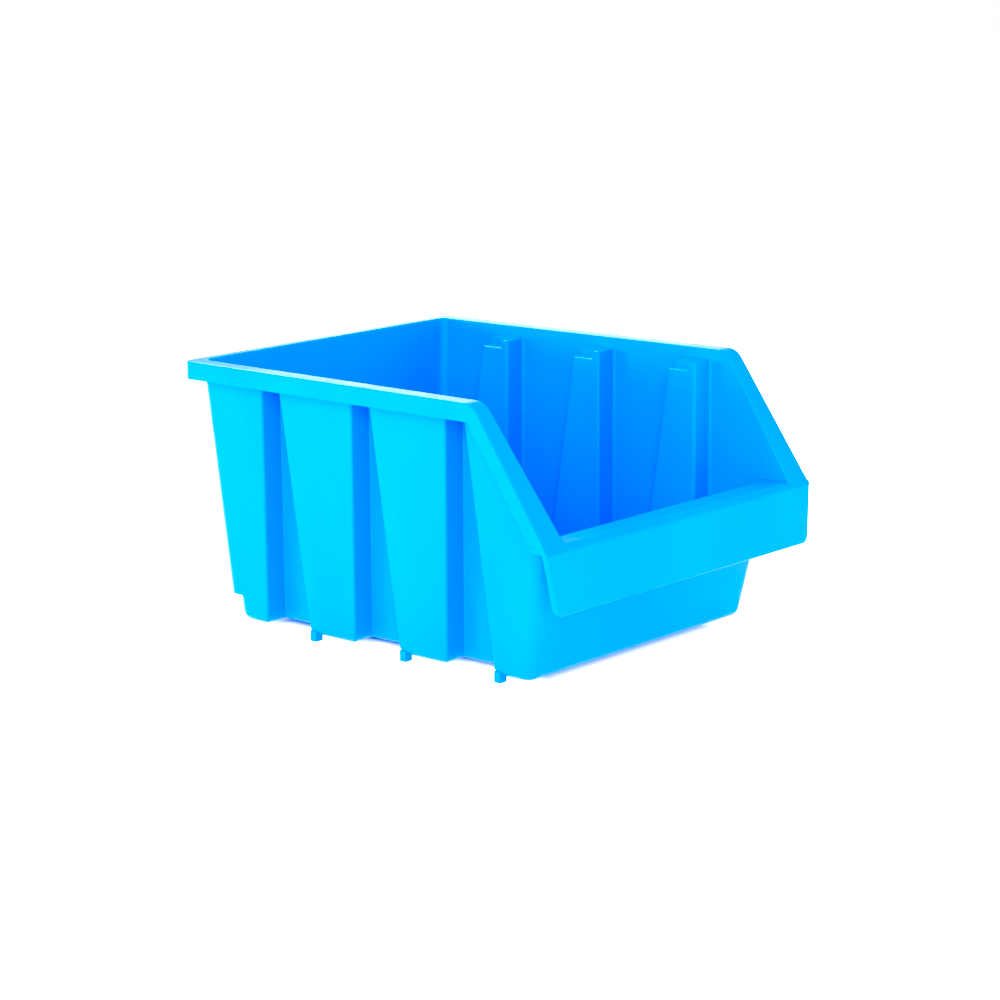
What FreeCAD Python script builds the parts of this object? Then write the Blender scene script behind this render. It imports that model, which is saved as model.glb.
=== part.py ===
"""Stackable open-front storage bin, moulded in polypropylene, built in named regions.

Millimetres.  +Z is up, +Y points to the back, +X to the right-hand side of someone
who stands in front of the bin.  The origin lies on the standing plane, in the middle
of the overall length and width.  Most stations are given as a distance from the rear
edge of the top rim ("back") and a height above the underside of the tub ("up").
"""
import FreeCAD
import Part
import os

from FreeCAD import Vector

# overall
LENGTH = 200.0
REAR_RIM_WIDTH = 170.0
RIM_HEIGHT = 111.5
LUG_HEIGHT = 2.5
FLARE = 0.023

# walls
WALL = 2.2
FLOOR = 2.3
BASE_HALF_WIDTH = 68.6
SIDE_DRAFT = 0.092
REAR_TOP = 3.2
REAR_FOOT = 9.2
FRONT_FOOT = 175.8
FRONT_LEAN = 0.195
CORNER_RADIUS = 6.0
BOTTOM_RADIUS = 4.5
INNER_BOTTOM_RADIUS = 3.0

# rear stacking step
STEP_HEIGHT = 11.0
STEP_TOP = 14.4
STEP_FOOT = 15.2

# rim and sloped front edge
SLOPE_START = 160.0
SLOPE_END = 197.6
SLOPE_END_HEIGHT = 57.5
SLOPE_CORNER_RADIUS = 8.0
RIM_DEPTH = 7.5
SLOPE_RIM_DEPTH = 6.2
RIM_SKIN = 2.3
RIM_CORNER_RADIUS = 5.0
RIM_EDGE_RADIUS = 0.9

# front rim and label lip; the lip's foot would reach a little past the length if its edge were sharp
FRONT_RIM_HEIGHT = 59.5
LIP_BOTTOM = 32.7
LIP_FOOT = 200.07
LIP_THICKNESS = 2.3
LIP_TAPER = 4.3
LIP_CORNER_RADIUS = 4.0
LIP_ROUND = 3.4
LIP_EDGE_RADIUS = 0.7

# side flutes
FLUTE_CENTRES = (44.6, 94.8, 145.2)
FLUTE_FOOT_WIDTH = 25.0
FLUTE_TOP_WIDTH = 9.4
FLUTE_TOP = 104.5
FLUTE_DEPTH = 11.0
FLUTE_SHOULDER = 101.0
FLUTE_SHOULDER_DEPTH = 5.5
RIB_WEB = 3.2
FLUTE_EDGE_RADIUS = 1.0
FLUTE_CORNER_RADIUS = 0.4
RIB_EDGE_RADIUS = 1.3
RIB_TOP_RADIUS = 0.8

# stacking lugs
LUG_LENGTH = 3.0
LUG_WIDTH = 4.0
LUG_ROOT = 2.0

# lines along which the moulding is divided into its regions
REAR_SPLIT = 10.0
SLOPE_SPLIT = 6.0
REAR_REACH = 24.0
FRONT_REACH = 165.0
CORNER_MARGIN = 8.0
FLUTE_MARGIN = 2.0

# limits of the cutting regions, clear of the bin on every side
FAR = 140.0
BEHIND = -40.0
AHEAD = 260.0
UNDER = -40.0
OVER = 180.0
CORNERS = ((BEHIND, UNDER), (AHEAD, UNDER), (AHEAD, OVER), (BEHIND, OVER))
CLEARANCE = 5.0
CHANNEL_DEPTH = 30.0
STEP_OVERLAP = 22.0

# how edges are recognised
TOUCH = 0.01
PROBE_DROP = 1.0
PROBE_REACH = 0.3
UPRIGHT_LENGTH = 6.0
UPRIGHT_LEAN = 0.4

HALF_LENGTH = LENGTH / 2.0
SLOPE_RUN = (SLOPE_END - SLOPE_START) / (RIM_HEIGHT - SLOPE_END_HEIGHT)
LIP_UNDERSIDE = FRONT_RIM_HEIGHT - RIM_SKIN
SIDES = {"left": -1.0, "right": 1.0}


def point(back, up, x=0.0):
    """Place a station (distance from the rear edge, height of the tub) in the frame."""
    return Vector(x, HALF_LENGTH - back, LUG_HEIGHT + up)


def rim_half_width(back):
    return REAR_RIM_WIDTH / 2.0 + FLARE * back


def wall_half_width(back, up):
    return BASE_HALF_WIDTH + FLARE * back + SIDE_DRAFT * up


def front_wall_back(up):
    return FRONT_FOOT + FRONT_LEAN * up


def rear_wall_back(up):
    run = (REAR_FOOT - REAR_TOP) / (RIM_HEIGHT - STEP_HEIGHT)
    return REAR_TOP + run * (RIM_HEIGHT - up)


def slope_back(up):
    """Station of the sloped front edge of the sides at a height."""
    return SLOPE_START + SLOPE_RUN * (RIM_HEIGHT - up)


def polygon_face(points):
    return Part.Face(Part.makePolygon(points + [points[0]]))


def across(stations):
    """Solid with a side profile of (back, up) stations, across the whole width."""
    points = [point(back, up, -FAR) for back, up in stations]
    return polygon_face(points).extrude(Vector(2.0 * FAR, 0, 0))


def quad_solid(near, far):
    """Solid between two four-cornered faces whose corners correspond."""
    wires = [Part.makePolygon(corners + [corners[0]]) for corners in (near, far)]
    return Part.makeLoft(wires, True, True)


def side_region(inner, outer, side):
    """Everything on one side between two widths, each a function of (back, up)."""
    near = [point(back, up, side * inner(back, up)) for back, up in CORNERS]
    far = [point(back, up, side * outer(back, up)) for back, up in CORNERS]
    return quad_solid(near, far)


def middle_region(width):
    """Everything within a half width on both sides, a function of (back, up)."""
    near = [point(back, up, -width(back, up)) for back, up in CORNERS]
    far = [point(back, up, width(back, up)) for back, up in CORNERS]
    return quad_solid(near, far)


def edges_where(shape, test):
    return [edge for edge in shape.Edges if test(edge)]


def is_upright(edge):
    box = edge.BoundBox
    lean = max(box.XLength, box.YLength)
    return box.ZLength > UPRIGHT_LENGTH and lean < UPRIGHT_LEAN * box.ZLength


def at_height(edge, height):
    box = edge.BoundBox
    return abs(box.ZMin - height) < TOUCH and abs(box.ZMax - height) < TOUCH


def slope_meets_front_wall():
    up = (slope_back(0.0) - FRONT_FOOT) / (FRONT_LEAN + SLOPE_RUN)
    return front_wall_back(up), up


def flute_half_width(up, grow=0.0):
    share = up / FLUTE_TOP
    return 0.5 * (FLUTE_FOOT_WIDTH + (FLUTE_TOP_WIDTH - FLUTE_FOOT_WIDTH) * share) + grow


def flute_slab(rear, front, side, bottom, top, reach):
    """Block sunk into a side wall between two flanks, each a function of the height."""
    stations = [(rear(bottom), bottom), (rear(top), top), (front(top), top), (front(bottom), bottom)]
    region = side_region(
        lambda back, up: wall_half_width(back, up) - reach,
        lambda back, up: wall_half_width(back, up) + CLEARANCE,
        side,
    )
    return across(stations).common(region)


def flute_groove(centre, side, grow, bottom):
    """Stepped groove of one flute; grow is the wall added around it for the cavity side.

    On the cavity side the front flank is a web that stays at full depth up to the top.
    """
    def rear(up):
        return centre - flute_half_width(up, grow)

    def front(up):
        return centre + flute_half_width(up, grow)

    def web(up):
        return front(up) - RIB_WEB

    depth = FLUTE_DEPTH + grow
    top = FLUTE_TOP + grow
    groove = flute_slab(rear, front, side, bottom, FLUTE_SHOULDER + grow, depth)
    groove = groove.fuse(flute_slab(rear, front, side, bottom, top, FLUTE_SHOULDER_DEPTH + grow))
    if grow > 0.0:
        groove = groove.fuse(flute_slab(web, front, side, bottom, top, depth))
    return groove.removeSplitter()


def upper_block():
    """Outside of the tub above its stacking step: sloped in front, round where the slope starts."""
    block = across([
        (rear_wall_back(0.0), 0.0),
        (rear_wall_back(RIM_HEIGHT), RIM_HEIGHT),
        (SLOPE_START, RIM_HEIGHT),
        slope_meets_front_wall(),
        (front_wall_back(0.0), 0.0),
    ])
    return rounded_at(block, point(SLOPE_START, RIM_HEIGHT), SLOPE_CORNER_RADIUS)


def upper_cavity():
    """Side profile of the cavity above the stacking step, open at the top."""
    top = RIM_HEIGHT + CLEARANCE
    return across([
        (rear_wall_back(FLOOR) + WALL, FLOOR),
        (rear_wall_back(top) + WALL, top),
        (front_wall_back(top) - WALL, top),
        (front_wall_back(FLOOR) - WALL, FLOOR),
    ])


def lower_profile(wall, floor):
    """Side profile of the narrower foot of the tub, moved inwards by a wall."""
    run = (STEP_FOOT - STEP_TOP) / STEP_HEIGHT
    top = STEP_HEIGHT + STEP_OVERLAP
    return [
        (STEP_FOOT - run * floor + wall, floor),
        (STEP_FOOT - run * top + wall, top),
        (front_wall_back(top) - wall, top),
        (front_wall_back(floor) - wall, floor),
    ]


def below(up):
    """Everything below a height of the tub."""
    return across([(BEHIND, UNDER), (BEHIND, up), (AHEAD, up), (AHEAD, UNDER)])


def grooved(solid, grow, bottom):
    for side in SIDES.values():
        for centre in FLUTE_CENTRES:
            solid = solid.cut(flute_groove(centre, side, grow, bottom))
    return solid


def tub_solid(upper, wall, floor, step, corner_radius, bottom_radius):
    """The tub as a filled block: its outside with no wall, the cavity with one."""
    width = middle_region(lambda back, up: wall_half_width(back, up) - wall)
    upper = upper.common(width)
    upper = upper.makeFillet(corner_radius, edges_where(upper, is_upright))
    upper = grooved(upper, wall, floor - CLEARANCE).cut(below(step))
    lower = across(lower_profile(wall, floor)).common(width)
    lower = lower.makeFillet(corner_radius, edges_where(lower, is_upright))
    lower = grooved(lower, wall, floor - CLEARANCE)
    height = LUG_HEIGHT + floor
    lower = lower.makeFillet(bottom_radius, edges_where(lower, lambda edge: at_height(edge, height)))
    return upper.fuse(lower.common(below(step))).removeSplitter()


def outer_tub():
    """The tub as if it were full, with its flutes."""
    tub = tub_solid(upper_block(), 0.0, 0.0, STEP_HEIGHT, CORNER_RADIUS, BOTTOM_RADIUS)
    deep = [edge for edge in flute_edges(tub, 0.0) if is_deep(edge)]
    tub = tub.makeFillet(FLUTE_CORNER_RADIUS, deep)
    shallow = [edge for edge in flute_edges(tub, 0.0) if not is_deep(edge)]
    return tub.makeFillet(FLUTE_EDGE_RADIUS, shallow)


def cavity():
    """The inside of the tub, with the ribs that the flutes make in it."""
    step = STEP_HEIGHT + WALL
    hollow = tub_solid(upper_cavity(), WALL, FLOOR, step, CORNER_RADIUS - WALL, INNER_BOTTOM_RADIUS)
    hollow = hollow.makeFillet(RIB_EDGE_RADIUS, flute_edges(hollow, WALL))
    tops = edges_where(hollow, lambda edge: is_rib_top_edge(hollow, edge))
    return hollow.makeFillet(RIB_TOP_RADIUS, tops)


def flute_edges(solid, grow):
    """Long edges of every flute, outside (no grow) or in the cavity (a wall of grow)."""
    edges = []
    for centre in FLUTE_CENTRES:
        edges += edges_where(solid, lambda edge: is_flute_edge(edge, centre, grow))
    return edges


def is_flute_edge(edge, centre, grow):
    for vertex in edge.Vertexes:
        back = HALF_LENGTH - vertex.Point.y
        up = vertex.Point.z - LUG_HEIGHT
        if abs(abs(back - centre) - flute_half_width(up, grow)) > TOUCH:
            return False
    return edge.BoundBox.ZLength > RIM_HEIGHT / 2.0


def is_deep(edge):
    """True for an edge along the floor of a groove, false for one along the wall's face."""
    vertex = edge.Vertexes[0].Point
    face = wall_half_width(HALF_LENGTH - vertex.y, vertex.z - LUG_HEIGHT)
    return abs(vertex.x) < face - FLUTE_SHOULDER_DEPTH


def is_rib_top_edge(hollow, edge):
    """Edge of the stepped top of a rib beyond which the rib drops away to the cavity."""
    heights = [LUG_HEIGHT + up + WALL for up in (FLUTE_SHOULDER, FLUTE_TOP)]
    if not any(at_height(edge, height) for height in heights):
        return False
    middle = edge.valueAt((edge.FirstParameter + edge.LastParameter) / 2.0)
    return hollow.isInside(middle - Vector(0, 0, PROBE_DROP), PROBE_REACH, True)


def rim_profile(top_depth, slope_depth):
    """Band under the top edge and the sloped edge, a depth measured square to each."""
    rise = RIM_HEIGHT - SLOPE_END_HEIGHT
    run = SLOPE_END - SLOPE_START
    length = (rise * rise + run * run) ** 0.5
    along = (top_depth - slope_depth * run / length) * length / rise
    inner_back = SLOPE_START - slope_depth * rise / length + along * run / length
    end_back = SLOPE_END - slope_depth * length / rise
    return [
        (0.0, RIM_HEIGHT),
        (SLOPE_START, RIM_HEIGHT),
        (SLOPE_END, SLOPE_END_HEIGHT),
        (end_back, SLOPE_END_HEIGHT),
        (inner_back, RIM_HEIGHT - top_depth),
        (0.0, RIM_HEIGHT - top_depth),
    ]


def rounded_at(solid, corner, radius):
    """Round the edge that runs across the bin through a corner of its side profile."""
    return solid.makeFillet(radius, edges_where(solid, lambda edge: is_across_at(edge, corner)))


def is_across_at(edge, corner):
    box = edge.BoundBox
    at_back = abs(box.YMin - corner.y) < TOUCH and abs(box.YMax - corner.y) < TOUCH
    return at_back and at_height(edge, corner.z)


def slice_between(back_from, back_to):
    """Everything between two upright planes across the bin."""
    return across([(back_from, UNDER), (back_from, OVER), (back_to, OVER), (back_to, UNDER)])


def rim_band(hollow):
    """Rim with its down-turned skirt: land on top, skirt outside, open underneath."""
    band = across(rim_profile(RIM_DEPTH, SLOPE_RIM_DEPTH))
    band = rounded_at(band, point(SLOPE_START, RIM_HEIGHT), SLOPE_CORNER_RADIUS)
    band = band.common(middle_region(lambda back, up: rim_half_width(back)))
    uprights = edges_where(band, lambda edge: at_rear_end(edge) and is_upright(edge))
    band = band.makeFillet(RIM_CORNER_RADIUS, uprights)
    band = band.makeFillet(RIM_EDGE_RADIUS, edges_where(band, is_rim_outer_edge))
    opening = middle_region(lambda back, up: wall_half_width(back, up) - WALL)
    band = band.cut(hollow).cut(opening.common(slice_between(FRONT_REACH, AHEAD)))
    for side in SIDES.values():
        band = band.cut(rim_channel(side))
    return band


def at_rear_end(edge):
    return edge.BoundBox.YMin > HALF_LENGTH - TOUCH


def on_rim_land(vertex):
    """True on the flat top, on the slope and on the round corner between them."""
    back = HALF_LENGTH - vertex.Point.y
    up = vertex.Point.z - LUG_HEIGHT
    below_top = RIM_HEIGHT - up
    on_top = abs(below_top) < TOUCH
    on_slope = abs(slope_back(up) - back) < TOUCH
    on_corner = abs(back - SLOPE_START) < SLOPE_CORNER_RADIUS and below_top < SLOPE_CORNER_RADIUS
    return on_top or on_slope or on_corner


def is_rim_outer_edge(edge):
    """Edge of the rim's land along its outside."""
    box = edge.BoundBox
    crosses = box.XLength > HALF_LENGTH and box.YLength < TOUCH
    at_rear = box.YMax > HALF_LENGTH - RIM_CORNER_RADIUS - TOUCH
    return all(on_rim_land(vertex) for vertex in edge.Vertexes) and (at_rear or not crosses)


def is_rim_inner_edge(edge):
    """Edge of the rim's land along the inside of the tub."""
    for vertex in edge.Vertexes:
        back = HALF_LENGTH - vertex.Point.y
        inside = abs(vertex.Point.x) < wall_half_width(back, RIM_HEIGHT) - WALL + TOUCH
        behind = back > REAR_TOP + WALL - TOUCH
        if not (on_rim_land(vertex) and inside and behind):
            return False
    return True


def rim_channel(side):
    """Open channel between the tub wall and the skirt of the rim on one side."""
    deep = across(rim_profile(CHANNEL_DEPTH, CHANNEL_DEPTH))
    channel = deep.cut(across(rim_profile(RIM_SKIN, RIM_SKIN)))
    region = side_region(
        wall_half_width,
        lambda back, up: rim_half_width(back) - RIM_SKIN,
        side,
    )
    return channel.common(region).common(slice_between(RIM_CORNER_RADIUS, AHEAD))


def lip_front_back(up):
    """Station of the outer face of the label lip at a height."""
    run = (LIP_FOOT - SLOPE_END) / (SLOPE_END_HEIGHT - LIP_BOTTOM)
    return LIP_FOOT - run * (up - LIP_BOTTOM)


def is_lip_outline_edge(edge):
    """Edge along a side, a lower corner or the foot of the outer face of the label lip."""
    for vertex in edge.Vertexes:
        back = HALF_LENGTH - vertex.Point.y
        up = vertex.Point.z - LUG_HEIGHT
        if abs(back - lip_front_back(up)) > TOUCH:
            return False
    return edge.BoundBox.ZMin < LUG_HEIGHT + LIP_BOTTOM + LIP_CORNER_RADIUS


def front_lip():
    """Front rim of the opening with the label lip that hangs from its outer edge."""
    top_back = lip_front_back(FRONT_RIM_HEIGHT)
    under_back = lip_front_back(LIP_UNDERSIDE) - LIP_THICKNESS
    stations = [
        (front_wall_back(FRONT_RIM_HEIGHT) - WALL, FRONT_RIM_HEIGHT),
        (top_back, FRONT_RIM_HEIGHT),
        (LIP_FOOT, LIP_BOTTOM),
        (LIP_FOOT - LIP_THICKNESS, LIP_BOTTOM),
        (under_back, LIP_UNDERSIDE),
        (front_wall_back(LIP_UNDERSIDE) - WALL, LIP_UNDERSIDE),
    ]
    solid = rounded_at(across(stations), point(top_back, FRONT_RIM_HEIGHT), LIP_ROUND)
    solid = rounded_at(solid, point(under_back, LIP_UNDERSIDE), LIP_ROUND - LIP_THICKNESS)
    for side in SIDES.values():
        outside = side_region(wall_half_width, lambda back, up: FAR, side)
        solid = solid.cut(behind_slope_rim().common(outside))
    return solid.common(lip_outline())


def behind_slope_rim():
    """Front half of the bin, at front rim level and above, as far as the sloped rim."""
    profile = rim_profile(RIM_DEPTH, SLOPE_RIM_DEPTH)
    lower, upper = profile[3], profile[4]
    foot = lower[0] + SLOPE_RUN * (lower[1] - LIP_UNDERSIDE)
    return across([
        (HALF_LENGTH, LIP_UNDERSIDE),
        (HALF_LENGTH, upper[1]),
        upper,
        (foot, LIP_UNDERSIDE),
    ])


def wall_web(side):
    """Flat end of a side wall that runs on past the round corner to the sloped rim."""
    region = side_region(lambda back, up: wall_half_width(back, up) - WALL, wall_half_width, side)
    return behind_slope_rim().common(region).common(slice_between(FRONT_REACH, AHEAD))


def is_lengthwise(edge):
    return edge.BoundBox.YLength > HALF_LENGTH


def lip_outline():
    """Front view of the lip: full rim width at the top, narrower with round corners below."""
    half_top = rim_half_width(SLOPE_END)
    half_foot = half_top - LIP_TAPER
    near = HALF_LENGTH - SLOPE_START
    corners = [
        Vector(-half_foot, near, LUG_HEIGHT + LIP_BOTTOM),
        Vector(-half_top, near, LUG_HEIGHT + SLOPE_END_HEIGHT),
        Vector(-half_top, near, LUG_HEIGHT + RIM_HEIGHT),
        Vector(half_top, near, LUG_HEIGHT + RIM_HEIGHT),
        Vector(half_top, near, LUG_HEIGHT + SLOPE_END_HEIGHT),
        Vector(half_foot, near, LUG_HEIGHT + LIP_BOTTOM),
    ]
    solid = polygon_face(corners).extrude(Vector(0, -LENGTH, 0))
    feet = edges_where(solid, lambda edge: is_lengthwise(edge) and at_height(edge, corners[0].z))
    return solid.makeFillet(LIP_CORNER_RADIUS, feet)


def tub_walls(hollow):
    """Drafted walls and floor, open at the front above the front rim."""
    shell = outer_tub().cut(hollow)
    above = slice_between(FRONT_REACH, AHEAD).cut(below(FRONT_RIM_HEIGHT))
    inner = middle_region(lambda back, up: wall_half_width(back, up) - WALL)
    shell = shell.cut(above.common(inner))
    for side in SIDES.values():
        shell = shell.fuse(wall_web(side))
    return shell.removeSplitter()


def stacking_lug(centre, side, tub):
    """Small foot under the rear bottom corner of a panel, flush with its outer face."""
    rear = centre + flute_half_width(0.0)
    block = across([
        (rear, -LUG_HEIGHT),
        (rear, LUG_ROOT),
        (rear + LUG_LENGTH, LUG_ROOT),
        (rear + LUG_LENGTH, -LUG_HEIGHT),
    ])
    region = side_region(
        lambda back, up: wall_half_width(back, 0.0) - LUG_WIDTH,
        lambda back, up: wall_half_width(back, 0.0),
        side,
    )
    return block.common(region).cut(tub)


def flute_region(centre):
    """Everything across the bin that belongs to one pair of flutes."""
    margin = WALL + FLUTE_MARGIN
    return across([
        (centre - flute_half_width(-CLEARANCE, margin), -CLEARANCE),
        (centre - flute_half_width(RIM_HEIGHT, margin), RIM_HEIGHT),
        (centre + flute_half_width(RIM_HEIGHT, margin), RIM_HEIGHT),
        (centre + flute_half_width(-CLEARANCE, margin), -CLEARANCE),
    ])


def part_of(shape, name):
    """The single solid of a region; anything else is a modelling mistake."""
    solids = shape.Solids
    if len(solids) != 1 or not solids[0].isValid():
        raise ValueError("%s has %d solids" % (name, len(solids)))
    return solids[0]


def split_rim(rim):
    """Rear rim, two top rims and two sloped rims."""
    parts = {}
    rear = slice_between(BEHIND, REAR_SPLIT)
    slope = slice_between(SLOPE_START - SLOPE_SPLIT, AHEAD)
    parts["rear_top_rim"] = rim.common(rear)
    rest = rim.cut(rear)
    for name, side in SIDES.items():
        half = side_region(lambda back, up: 0.0, lambda back, up: FAR, side)
        parts[name + "_top_rim"] = rest.cut(slope).common(half)
        parts[name + "_sloped_rim"] = rest.common(slope).common(half)
    return parts


def split_walls(walls):
    """Panels and flutes of both sides, rear wall with its step, and front wall."""
    parts = {}
    middle = middle_region(lambda back, up: wall_half_width(back, up) - CORNER_MARGIN)
    rear = middle.common(slice_between(BEHIND, REAR_REACH))
    front = front_middle()
    step = below(STEP_HEIGHT + WALL)
    parts["rear_wall"] = walls.common(rear).cut(step)
    parts["rear_stacking_step"] = walls.common(rear).common(step)
    parts["front_wall"] = walls.common(front)
    sides = walls.cut(rear).cut(front)
    for name, side in SIDES.items():
        half = side_region(lambda back, up: 0.0, lambda back, up: FAR, side)
        wall = sides.common(half)
        for number, centre in enumerate(FLUTE_CENTRES, 1):
            region = flute_region(centre)
            parts["%s_flute_%d" % (name, number)] = wall.common(region)
            wall = wall.cut(region)
        panels = sorted(wall.Solids, key=lambda solid: -solid.CenterOfMass.y)
        for number, panel in enumerate(panels, 1):
            parts["%s_panel_%d" % (name, number)] = panel
    return parts


def front_middle():
    """Everything between the front corners of the bin, from just ahead of the flutes."""
    width = middle_region(lambda back, up: wall_half_width(back, up) - CORNER_MARGIN)
    return width.common(slice_between(FRONT_REACH, AHEAD))


def build_parts():
    hollow = cavity()
    walls = tub_walls(hollow)
    lip = front_lip().cut(walls)
    band = rim_band(hollow).cut(lip)
    tub = walls.fuse(band).removeSplitter()
    tub = tub.makeFillet(RIM_EDGE_RADIUS, edges_where(tub, is_rim_inner_edge))
    zone = across(rim_profile(RIM_DEPTH, SLOPE_RIM_DEPTH)).cut(front_middle())
    parts = split_rim(tub.common(zone))
    rest = tub.cut(zone)
    top_of_front = front_middle().cut(below(LIP_UNDERSIDE))
    front_rim = lip.cut(below(LIP_UNDERSIDE)).fuse(rest.common(top_of_front)).removeSplitter()
    inner_edge = point(front_wall_back(FRONT_RIM_HEIGHT) - WALL, FRONT_RIM_HEIGHT)
    parts["front_rim"] = rounded_at(front_rim, inner_edge, RIM_EDGE_RADIUS)
    label_lip = lip.common(below(LIP_UNDERSIDE))
    outline = edges_where(label_lip, is_lip_outline_edge)
    parts["label_lip"] = label_lip.makeFillet(LIP_EDGE_RADIUS, outline)
    rest = rest.cut(top_of_front)
    parts["floor_plate"] = rest.common(below(FLOOR))
    parts.update(split_walls(rest.cut(below(FLOOR))))
    for name, side in SIDES.items():
        for number, centre in enumerate(FLUTE_CENTRES, 1):
            parts["%s_stacking_lug_%d" % (name, number)] = stacking_lug(centre, side, walls)
    return {name: part_of(shape, name) for name, shape in parts.items()}


def main():
    os.makedirs("parts", exist_ok=True)
    for name, shape in sorted(build_parts().items()):
        shape.exportStep("parts/%s.step" % name)


main()
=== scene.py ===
import math

import bpy
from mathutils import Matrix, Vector


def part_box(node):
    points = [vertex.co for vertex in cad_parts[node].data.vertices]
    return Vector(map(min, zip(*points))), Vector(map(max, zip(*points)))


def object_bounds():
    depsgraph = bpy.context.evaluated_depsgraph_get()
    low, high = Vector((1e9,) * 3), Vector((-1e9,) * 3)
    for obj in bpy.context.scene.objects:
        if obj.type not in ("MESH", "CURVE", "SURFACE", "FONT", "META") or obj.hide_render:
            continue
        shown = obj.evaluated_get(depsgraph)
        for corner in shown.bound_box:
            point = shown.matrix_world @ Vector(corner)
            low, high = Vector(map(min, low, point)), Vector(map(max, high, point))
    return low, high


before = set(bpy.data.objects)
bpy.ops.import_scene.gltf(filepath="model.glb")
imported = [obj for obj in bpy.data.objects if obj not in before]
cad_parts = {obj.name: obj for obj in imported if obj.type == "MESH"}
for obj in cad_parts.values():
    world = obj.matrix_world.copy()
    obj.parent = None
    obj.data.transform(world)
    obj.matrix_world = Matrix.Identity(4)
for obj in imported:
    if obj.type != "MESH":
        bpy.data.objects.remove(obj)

# Metres, in the frame of the CAD: +X right, +Y back, +Z up, floor at z = 0.
first_low, first_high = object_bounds()
CENTRE = (first_low + first_high) / 2
LENGTH = first_high.y - first_low.y

# camera: direction it stands in, distance from the middle of the bin, and framing
VIEW_AZIMUTH = -50.71
VIEW_ELEVATION = 11.83
CAMERA_DISTANCE = 6.364 * LENGTH
FRAME_RIGHT = 0.006 * LENGTH
FRAME_UP = -0.014 * LENGTH
LENS = 108.9
SENSOR = 36.0

# plastic: one polypropylene, coloured right through, with a satin gloss
BLUE = (0.0, 0.193, 0.92, 1.0)
BLUE_LIGHT = (0.0, 0.210, 0.95, 1.0)
BLUE_SCUFFED = (0.004, 0.235, 0.95, 1.0)
GLOSS_TINT = (0.0, 0.5, 1.0, 1.0)
GLOSS_IOR = 1.45

# surface detail: noise cells per metre, the part of the noise that is used, and how far it goes
UPRIGHT = (0.0, 0.0, 0.0)
FLOW_SCALE = 34.0
FLOW_STRETCH = (1.0, 1.0, 0.3)
FLOW_RANGE = (0.35, 0.65)
PATCH_SCALE = 90.0
PATCH_RANGE = (0.3, 0.7)
PATCH_SPREAD = 0.035
GRAIN_SCALE = 2600.0
GRAIN_HEIGHT = 0.0001
SCRATCH_SCALE = 1400.0
SCRATCH_STRETCH = (1.0, 1.0, 0.025)
SCRATCH_TURNS = ((0.0, 0.35, 0.0), (1.45, 0.0, 0.3), (0.7, 1.2, 0.0))
SCRATCH_RANGE = (0.68, 0.74)
SCRATCH_PATCH_SCALE = 45.0
SCRATCH_PATCH_RANGE = (0.48, 0.62)
SCRATCH_FAINTEST = 0.15
SCRATCH_ROUGHNESS = 0.18

# studio floor, which glows, with a painted contact shadow: the glow is dimmed in a box under the
# foot of the bin;
# the box's width as a share of the foot's, and where its edge starts and ends, as shares of its
# half extents
FLOOR_SIZE = 40 * LENGTH
FLOOR_WHITE = (0.9, 0.9, 0.9, 1.0)
FLOOR_ROUGHNESS = (0.85, 0.95)
MOTTLE_SCALE = 12.0
FLOOR_GLOW = 0.85
SHADE_WIDTH = 0.8
SHADE_EDGE = (0.86, 1.0)

WHITE = (1.0, 1.0, 1.0, 1.0)
SKY = 1.0
LAMP_DISTANCE = 9 * LENGTH

# softboxes: name, azimuth, elevation, width and height in metres, watts
SOFTBOXES = (
    ("key", -50.0, 20.0, 0.5, 0.8, 15.0),
    ("left", -75.0, 22.0, 0.5, 0.8, 21.0),
    ("left_rear", -125.0, 4.0, 0.5, 0.25, 10.0),
    ("front_right", 20.0, 8.0, 0.8, 0.4, 9.5),
    ("rear_high", 165.0, 50.0, 0.8, 0.8, 36.0),
    ("behind", 129.0, 12.0, 0.5, 0.5, 1.5),
)

# amount of red at and below which the picture has none, as when it is over-saturated
RED_CRUSH = 0.12


# ---------------------------------------------------------------- shader nodes


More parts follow.
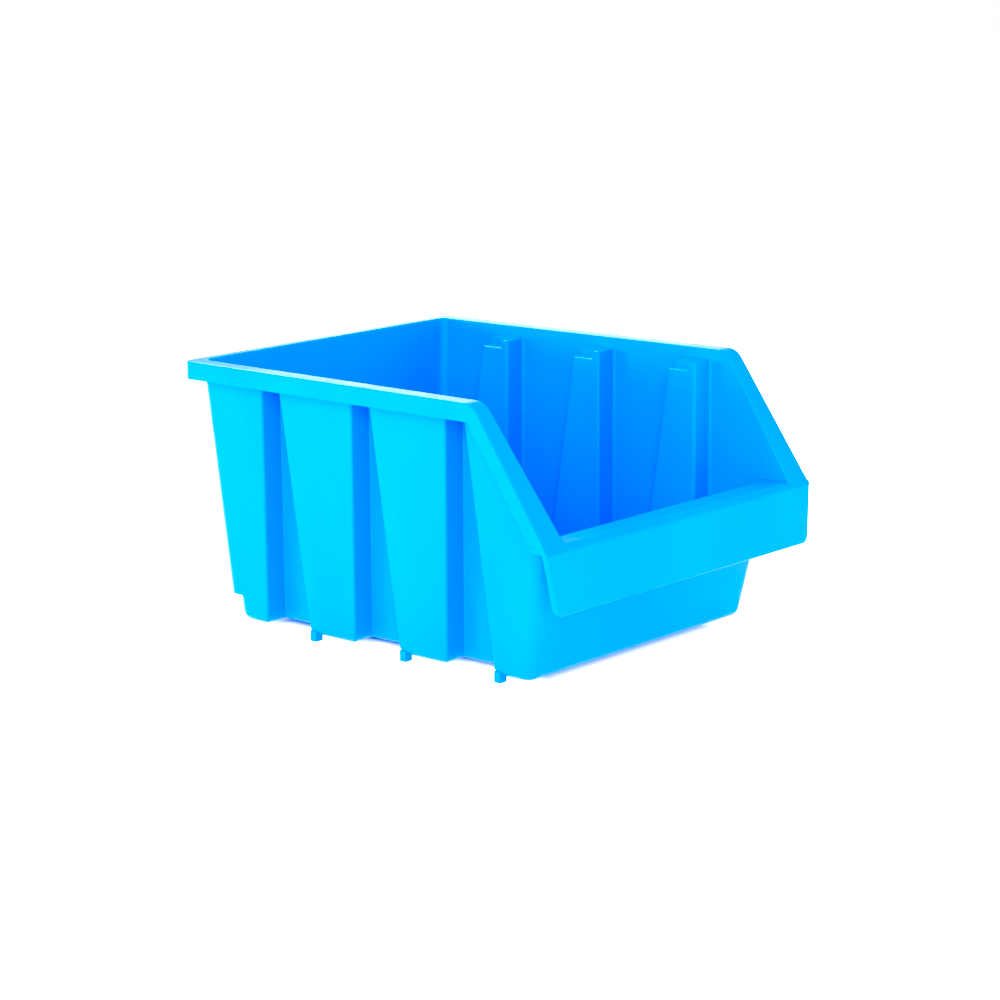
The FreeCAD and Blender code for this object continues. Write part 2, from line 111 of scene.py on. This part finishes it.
class Tree:
    """Node tree of one material.  Its methods add a node and return the socket that it feeds."""

    def __init__(self, name):
        self.material = bpy.data.materials.new(name)
        self.material.use_nodes = True
        self.nodes = self.material.node_tree.nodes
        self.links = self.material.node_tree.links
        self.nodes.clear()
        self.place = self.nodes.new("ShaderNodeTexCoord").outputs["Object"]

    def feed(self, socket, value):
        """Link another socket in, or set the value when it is the same everywhere."""
        if isinstance(value, bpy.types.NodeSocket):
            self.links.new(value, socket)
        else:
            socket.default_value = value

    def stretched(self, turn, scale):
        node = self.nodes.new("ShaderNodeMapping")
        self.feed(node.inputs["Vector"], self.place)
        self.feed(node.inputs["Rotation"], turn)
        self.feed(node.inputs["Scale"], scale)
        return node.outputs["Vector"]

    def noise(self, place, scale, detail):
        node = self.nodes.new("ShaderNodeTexNoise")
        self.feed(node.inputs["Vector"], place)
        self.feed(node.inputs["Scale"], scale)
        self.feed(node.inputs["Detail"], detail)
        return node.outputs["Fac"]

    def remap(self, value, low, high, to_low, to_high):
        node = self.nodes.new("ShaderNodeMapRange")
        self.feed(node.inputs["Value"], value)
        self.feed(node.inputs["From Min"], low)
        self.feed(node.inputs["From Max"], high)
        self.feed(node.inputs["To Min"], to_low)
        self.feed(node.inputs["To Max"], to_high)
        return node.outputs["Result"]

    def math(self, operation, *values):
        node = self.nodes.new("ShaderNodeMath")
        node.operation = operation
        for socket, value in zip(node.inputs, values):
            self.feed(socket, value)
        return node.outputs["Value"]

    def farther_of_axes(self, place):
        """The larger of the distances from the origin along x and along y."""
        node = self.nodes.new("ShaderNodeSeparateXYZ")
        self.feed(node.inputs["Vector"], place)
        across = self.math("ABSOLUTE", node.outputs["X"])
        return self.math("MAXIMUM", across, self.math("ABSOLUTE", node.outputs["Y"]))

    def mix(self, share, first, second):
        node = self.nodes.new("ShaderNodeMixRGB")
        self.feed(node.inputs["Fac"], share)
        self.feed(node.inputs["Color1"], first)
        self.feed(node.inputs["Color2"], second)
        return node.outputs["Color"]

    def bump(self, height, strength, distance):
        node = self.nodes.new("ShaderNodeBump")
        self.feed(node.inputs["Height"], height)
        self.feed(node.inputs["Strength"], strength)
        self.feed(node.inputs["Distance"], distance)
        return node.outputs["Normal"]

    def principled(self, **values):
        """Shader and output; words in the names of the values are joined by underscores."""
        node = self.nodes.new("ShaderNodeBsdfPrincipled")
        for name, value in values.items():
            self.feed(node.inputs[name.replace("_", " ")], value)
        output = self.nodes.new("ShaderNodeOutputMaterial")
        self.feed(output.inputs["Surface"], node.outputs["BSDF"])


# ---------------------------------------------------------------- plastic


def flow_colour(tree):
    """Blue with the faint upright clouds that the melt leaves as it fills the mould."""
    clouds = tree.noise(tree.stretched(UPRIGHT, FLOW_STRETCH), FLOW_SCALE, 4.0)
    return tree.mix(tree.remap(clouds, *FLOW_RANGE, 0.0, 1.0), BLUE, BLUE_LIGHT)


def scratches(tree, wear):
    """Sparse fine scratches in three directions, in patches; 0 on clean plastic."""
    total = 0.0
    for turn in SCRATCH_TURNS:
        streaks = tree.noise(tree.stretched(turn, SCRATCH_STRETCH), SCRATCH_SCALE, 1.0)
        total = tree.math("MAXIMUM", tree.remap(streaks, *SCRATCH_RANGE, 0.0, wear), total)
    patches = tree.noise(tree.place, SCRATCH_PATCH_SCALE, 2.0)
    share = tree.remap(patches, *SCRATCH_PATCH_RANGE, SCRATCH_FAINTEST, 1.0)
    return tree.math("MULTIPLY", total, share)


def moulded_plastic(name, roughness, grain, wear):
    """Polypropylene with flow clouds, mould grain, uneven gloss and light scratches."""
    tree = Tree(name)
    worn = scratches(tree, wear)
    patches = tree.noise(tree.place, PATCH_SCALE, 4.0)
    gloss = tree.remap(patches, *PATCH_RANGE, roughness - PATCH_SPREAD, roughness + PATCH_SPREAD)
    tree.principled(
        Base_Color=tree.mix(worn, flow_colour(tree), BLUE_SCUFFED),
        Roughness=tree.math("MULTIPLY_ADD", worn, SCRATCH_ROUGHNESS, gloss),
        Normal=tree.bump(tree.noise(tree.place, GRAIN_SCALE, 2.0), grain, GRAIN_HEIGHT),
        IOR=GLOSS_IOR,
        Specular_Tint=GLOSS_TINT,
    )
    return tree.material


def dress(material, *words):
    """Give a material to the CAD nodes whose names contain one of the words."""
    for name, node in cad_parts.items():
        if any(word in name for word in words):
            node.data.materials.clear()
            node.data.materials.append(material)


dress(moulded_plastic("wall_plastic", 0.31, 0.10, 0.5), "panel", "wall", "step")
dress(moulded_plastic("flute_plastic", 0.31, 0.10, 0.5), "flute")
dress(moulded_plastic("rim_plastic", 0.30, 0.08, 0.15), "rim", "lip")
dress(moulded_plastic("floor_plastic", 0.33, 0.10, 1.0), "floor")
dress(moulded_plastic("lug_plastic", 0.36, 0.12, 1.0), "lug")


# ---------------------------------------------------------------- floor, light, camera and view


def toward(azimuth, elevation):
    """Unit vector from the bin to something at an azimuth (0 in front, 90 right) and elevation."""
    a = math.radians(azimuth)
    e = math.radians(elevation)
    return Vector((math.sin(a) * math.cos(e), -math.cos(a) * math.cos(e), math.sin(e)))


def pale_floor():
    """White floor that glows, less so in a box under the foot of the bin, which paints a contact
    shadow there.
    """
    low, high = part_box("floor_plate")
    foot = (low + high) / 2
    bpy.ops.mesh.primitive_plane_add(size=FLOOR_SIZE, location=(foot.x, foot.y, first_low.z))
    floor = bpy.context.object
    floor.name = "studio_floor"
    tree = Tree("floor_white")
    mottle = tree.noise(tree.place, MOTTLE_SCALE, 3.0)
    per_half_width = 2 / (SHADE_WIDTH * (high.x - low.x))
    per_half_length = 2 / (high.y - low.y)
    shares = tree.stretched(UPRIGHT, (per_half_width, per_half_length, 0.0))
    # painted contact shadow: the glow falls to nothing inside the box under the foot
    outside = tree.remap(tree.farther_of_axes(shares), *SHADE_EDGE, 0.0, FLOOR_GLOW)
    tree.principled(
        Base_Color=FLOOR_WHITE,
        Roughness=tree.remap(mottle, *PATCH_RANGE, *FLOOR_ROUGHNESS),
        Emission_Color=WHITE,
        Emission_Strength=outside,
    )
    floor.data.materials.append(tree.material)


def white_sky():
    world = bpy.data.worlds.new("studio")
    world.use_nodes = True
    background = world.node_tree.nodes["Background"]
    background.inputs["Color"].default_value = WHITE
    background.inputs["Strength"].default_value = SKY
    bpy.context.scene.world = world


def softbox(name, azimuth, elevation, width, height, watts):
    """Rectangular lamp that faces the middle of the bin."""
    data = bpy.data.lights.new(name, "AREA")
    data.shape = "RECTANGLE"
    data.size = width
    data.size_y = height
    data.energy = watts
    lamp = bpy.data.objects.new(name, data)
    bpy.context.scene.collection.objects.link(lamp)
    direction = toward(azimuth, elevation)
    lamp.location = CENTRE + LAMP_DISTANCE * direction
    lamp.rotation_mode = "QUATERNION"
    lamp.rotation_quaternion = direction.to_track_quat("Z", "Y")
    lamp.visible_camera = False


def studio_camera():
    back = toward(VIEW_AZIMUTH, VIEW_ELEVATION)
    right = Vector((0.0, 0.0, 1.0)).cross(back).normalized()
    up = back.cross(right)
    data = bpy.data.cameras.new("camera")
    data.lens = LENS
    data.sensor_width = SENSOR
    camera = bpy.data.objects.new("camera", data)
    bpy.context.scene.collection.objects.link(camera)
    camera.location = CENTRE + CAMERA_DISTANCE * back + FRAME_RIGHT * right + FRAME_UP * up
    camera.rotation_mode = "QUATERNION"
    camera.rotation_quaternion = back.to_track_quat("Z", "Y")
    bpy.context.scene.camera = camera


def saturated_view():
    """Plain tone curve that loses the weakest red, so that the plastic shows as pure blue."""
    view = bpy.context.scene.view_settings
    view.view_transform = "Standard"
    view.use_curve_mapping = True
    view.curve_mapping.black_level = (RED_CRUSH, 0.0, 0.0)
    view.curve_mapping.update()


pale_floor()
white_sky()
for settings in SOFTBOXES:
    softbox(*settings)
studio_camera()
saturated_view()
